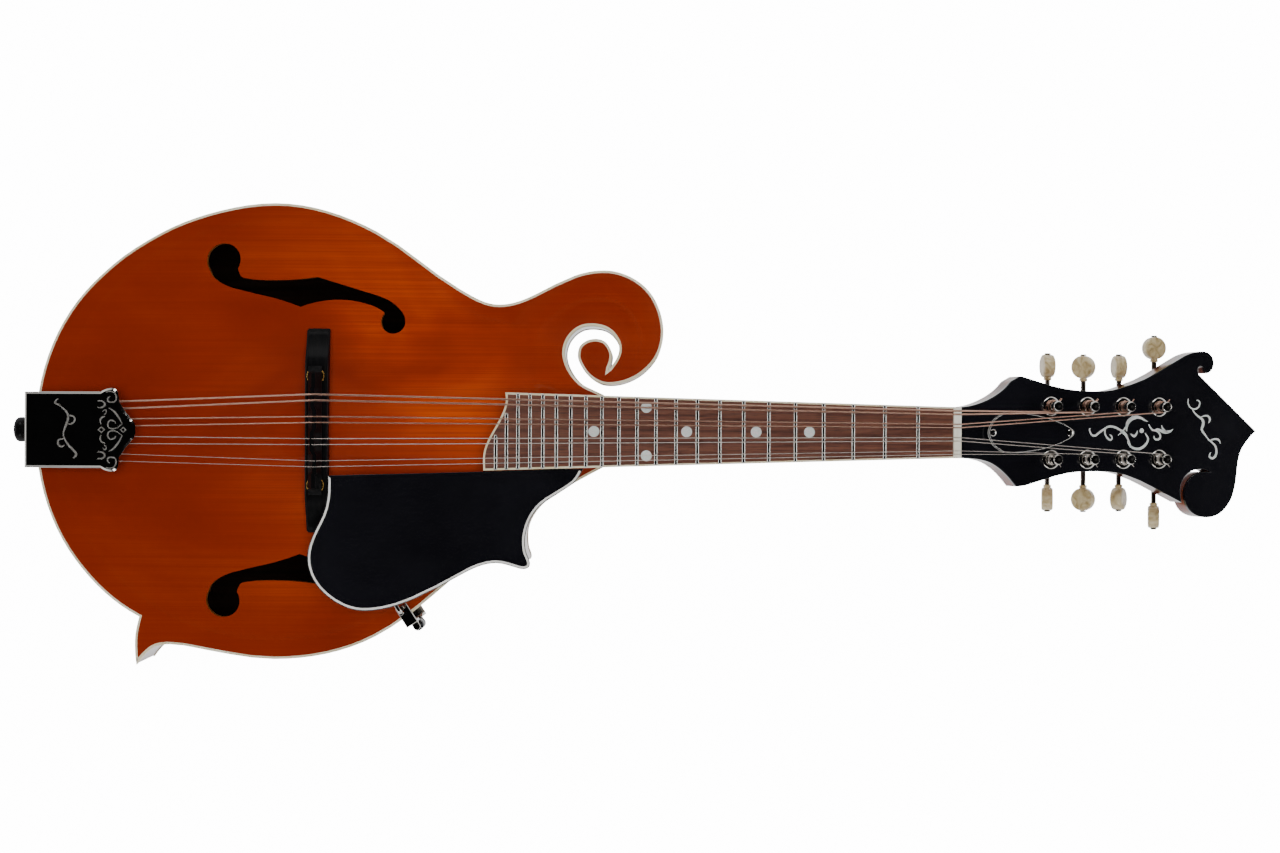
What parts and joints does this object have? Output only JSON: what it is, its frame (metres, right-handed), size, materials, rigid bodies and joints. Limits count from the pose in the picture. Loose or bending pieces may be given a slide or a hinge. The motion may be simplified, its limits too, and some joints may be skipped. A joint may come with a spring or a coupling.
{
  "type": "mandolin",
  "caption": "Carved-top mandolin with scrolled body and head, sound holes, adjustable bridge, floating pickguard, sliding tailpiece cover and geared tuners.",
  "frame": {"origin": "under the middle of the bounding box, at the height of the lowest point of the head; y = 0 is the centreline of the strings", "axes": "+X from the tail to the head along the centreline, +Y towards the bass strings, +Z out of the top, with the plate edges parallel to XY"},
  "size_m": [0.7148, 0.2571, 0.1065],
  "materials": {
    "amber_top": "gloss amber-red lacquer over spruce",
    "maple": "gloss red-brown lacquer over figured maple",
    "inside_wood": "bare",
    "ebony": "satin",
    "rosewood": "satin",
    "binding": "gloss ivory-coloured binding",
    "black_plastic": "gloss black",
    "white_line": "gloss white and black binding",
    "bone": "polished",
    "pearl": "polished",
    "ivory_button": "marbled ivory-coloured",
    "nickel": "polished nickel",
    "fret_wire": "polished",
    "string_wire": "plain steel and bronze-wound",
    "steel": "oiled",
    "brass": "bare",
    "dark_metal": "gloss black"
  },
  "bodies": {
    "instrument": {"top_plate": "amber_top", "back_plate": "maple", "rim": "maple", "linings": "inside_wood", "neck_block": "inside_wood", "rim_blocks": "inside_wood", "tone_bars": "inside_wood", "body_binding": "binding", "end_pin": "ebony", "tailpiece_base": "nickel", "wood_screws": "nickel", "neck": "maple", "head_veneer": "black_plastic", "truss_rod": "steel", "truss_rod_cover": "black_plastic", "nut": "bone", "fingerboard": "rosewood", "fingerboard_binding": "binding", "frets": "fret_wire", "pearl_inlays": "pearl", "bridge_base": "ebony", "bridge_posts": "brass", "pickguard": "black_plastic", "pickguard_binding": "white_line", "pickguard_block": "ebony", "pickguard_clamp": "nickel", "strings": "string_wire", "tuner_plates": "nickel", "tuner_bushings": "nickel"},
    "saddle": {"bridge_saddle": "ebony"},
    "wheel_bass": {"thumbwheel_bass": "brass"},
    "wheel_treble": {"thumbwheel_treble": "brass"},
    "cover": {"tailpiece_cover": "nickel"},
    "rod_nut": {"truss_rod_nut": "brass"},
    "barrel": {"clamp_barrel": "dark_metal"},
    "key_1": {"tuner_button_1": "ivory_button", "tuner_worm_1": "steel"},
    "post_1": {"tuner_post_1": "nickel"},
    "key_2": {"tuner_button_2": "ivory_button", "tuner_worm_2": "steel"},
    "post_2": {"tuner_post_2": "nickel"},
    "key_3": {"tuner_button_3": "ivory_button", "tuner_worm_3": "steel"},
    "post_3": {"tuner_post_3": "nickel"},
    "key_4": {"tuner_button_4": "ivory_button", "tuner_worm_4": "steel"},
    "post_4": {"tuner_post_4": "nickel"},
    "key_5": {"tuner_button_5": "ivory_button", "tuner_worm_5": "steel"},
    "post_5": {"tuner_post_5": "nickel"},
    "key_6": {"tuner_button_6": "ivory_button", "tuner_worm_6": "steel"},
    "post_6": {"tuner_post_6": "nickel"},
    "key_7": {"tuner_button_7": "ivory_button", "tuner_worm_7": "steel"},
    "post_7": {"tuner_post_7": "nickel"},
    "key_8": {"tuner_button_8": "ivory_button", "tuner_worm_8": "steel"},
    "post_8": {"tuner_post_8": "nickel"}
  },
  "joints": [
    {"name": "thumbwheel_bass_turn", "type": "hinge", "parent": "saddle", "child": "wheel_bass", "pos_m": [-0.17968, 0.0297, 0.09774], "axis": [0, 0, 1], "range_deg": [-460, 915]},
    {"name": "thumbwheel_treble_turn", "type": "hinge", "parent": "saddle", "child": "wheel_treble", "pos_m": [-0.17968, -0.0297, 0.09774], "axis": [0, 0, 1], "range_deg": [-460, 915]},
    {"name": "saddle_lift", "type": "slide", "parent": "instrument", "child": "saddle", "axis": [0, 0, 1], "range_m": [-0.001, 0.002], "deforming": ["strings"]},
    {"name": "tailpiece_cover_slide", "type": "slide", "parent": "instrument", "child": "cover", "axis": [-0.9925, 0, -0.1219], "range_m": [0, 0.07]},
    {"name": "truss_rod_nut_turn", "type": "hinge", "parent": "instrument", "child": "rod_nut", "pos_m": [0.17788, 0, 0.06147], "axis": [0.9969, 0, -0.0785], "range_deg": [-180, 180]},
    {"name": "clamp_barrel_turn", "type": "hinge", "parent": "instrument", "child": "barrel", "pos_m": [-0.12775, -0.10965, 0.05054], "axis": [0, 0, 1], "range_deg": [-90, 90]},
    {"name": "key_1_turn", "type": "hinge", "parent": "instrument", "child": "key_1", "pos_m": [0.23103, 0.015, 0.03399], "axis": [0, 1, 0], "continuous": true},
    {"name": "post_1_turn", "type": "hinge", "parent": "instrument", "child": "post_1", "pos_m": [0.22779, 0.015, 0.04802], "axis": [0.3007, 0, 0.9537], "continuous": true},
    {"name": "key_2_turn", "type": "hinge", "parent": "instrument", "child": "key_2", "pos_m": [0.25316, 0.015, 0.02702], "axis": [0, 1, 0], "continuous": true},
    {"name": "post_2_turn", "type": "hinge", "parent": "instrument", "child": "post_2", "pos_m": [0.24992, 0.015, 0.04104], "axis": [0.3007, 0, 0.9537], "continuous": true},
    {"name": "key_3_turn", "type": "hinge", "parent": "instrument", "child": "key_3", "pos_m": [0.27528, 0.015, 0.02004], "axis": [0, 1, 0], "continuous": true},
    {"name": "post_3_turn", "type": "hinge", "parent": "instrument", "child": "post_3", "pos_m": [0.27205, 0.015, 0.03406], "axis": [0.3007, 0, 0.9537], "continuous": true},
    {"name": "key_4_turn", "type": "hinge", "parent": "instrument", "child": "key_4", "pos_m": [0.29741, 0.015, 0.01306], "axis": [0, 1, 0], "continuous": true},
    {"name": "post_4_turn", "type": "hinge", "parent": "instrument", "child": "post_4", "pos_m": [0.29417, 0.015, 0.02709], "axis": [0.3007, 0, 0.9537], "continuous": true},
    {"name": "key_5_turn", "type": "hinge", "parent": "instrument", "child": "key_5", "pos_m": [0.23103, -0.015, 0.03399], "axis": [0, 1, 0], "continuous": true},
    {"name": "post_5_turn", "type": "hinge", "parent": "instrument", "child": "post_5", "pos_m": [0.22779, -0.015, 0.04802], "axis": [0.3007, 0, 0.9537], "continuous": true},
    {"name": "key_6_turn", "type": "hinge", "parent": "instrument", "child": "key_6", "pos_m": [0.25316, -0.015, 0.02702], "axis": [0, 1, 0], "continuous": true},
    {"name": "post_6_turn", "type": "hinge", "parent": "instrument", "child": "post_6", "pos_m": [0.24992, -0.015, 0.04104], "axis": [0.3007, 0, 0.9537], "continuous": true},
    {"name": "key_7_turn", "type": "hinge", "parent": "instrument", "child": "key_7", "pos_m": [0.27528, -0.015, 0.02004], "axis": [0, 1, 0], "continuous": true},
    {"name": "post_7_turn", "type": "hinge", "parent": "instrument", "child": "post_7", "pos_m": [0.27205, -0.015, 0.03406], "axis": [0.3007, 0, 0.9537], "continuous": true},
    {"name": "key_8_turn", "type": "hinge", "parent": "instrument", "child": "key_8", "pos_m": [0.29741, -0.015, 0.01306], "axis": [0, 1, 0], "continuous": true},
    {"name": "post_8_turn", "type": "hinge", "parent": "instrument", "child": "post_8", "pos_m": [0.29417, -0.015, 0.02709], "axis": [0.3007, 0, 0.9537], "continuous": true}
  ],
  "couplings": [
    {"joint": "thumbwheel_bass_turn", "follows": "saddle_lift", "rad_per_m": 7913.3},
    {"joint": "thumbwheel_treble_turn", "follows": "saddle_lift", "rad_per_m": 7913.3},
    {"joint": "post_1_turn", "follows": "key_1_turn", "ratio": -0.0625},
    {"joint": "post_2_turn", "follows": "key_2_turn", "ratio": -0.0625},
    {"joint": "post_3_turn", "follows": "key_3_turn", "ratio": -0.0625},
    {"joint": "post_4_turn", "follows": "key_4_turn", "ratio": -0.0625},
    {"joint": "post_5_turn", "follows": "key_5_turn", "ratio": 0.0625},
    {"joint": "post_6_turn", "follows": "key_6_turn", "ratio": 0.0625},
    {"joint": "post_7_turn", "follows": "key_7_turn", "ratio": 0.0625},
    {"joint": "post_8_turn", "follows": "key_8_turn", "ratio": 0.0625}
  ]
}
